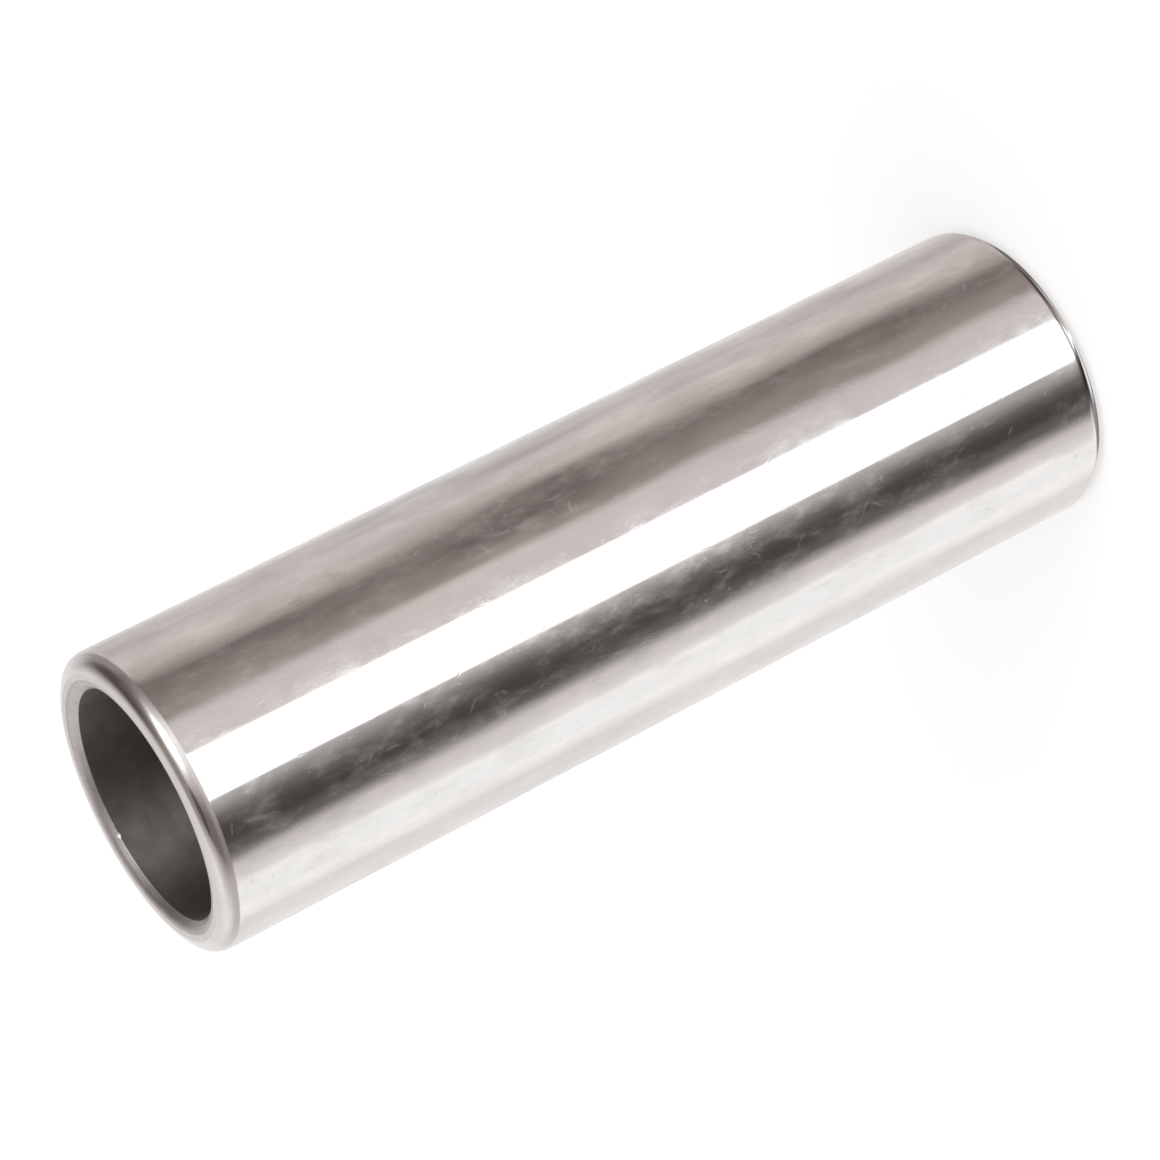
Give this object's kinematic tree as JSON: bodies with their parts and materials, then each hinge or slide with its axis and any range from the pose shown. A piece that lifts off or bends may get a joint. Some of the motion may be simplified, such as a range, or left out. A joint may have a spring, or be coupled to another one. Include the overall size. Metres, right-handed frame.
{
  "type": "piston pin",
  "caption": "Hollow polished steel pin with rounded outer edges and a chamfered through bore, which joins a piston to the small end of a connecting rod.",
  "frame": {"origin": "middle of the lower end face, on the pin's axis", "axes": "+Z along the pin's axis, from the lower end face to the upper one; the pin is round, so X and Y are free"},
  "size_m": [0.022, 0.022, 0.0735],
  "materials": {
    "polished_steel": "bare hardened steel, ground and polished outside, dull in the bore"
  },
  "bodies": {
    "root": {"piston_pin": "polished_steel"}
  },
  "joints": []
}
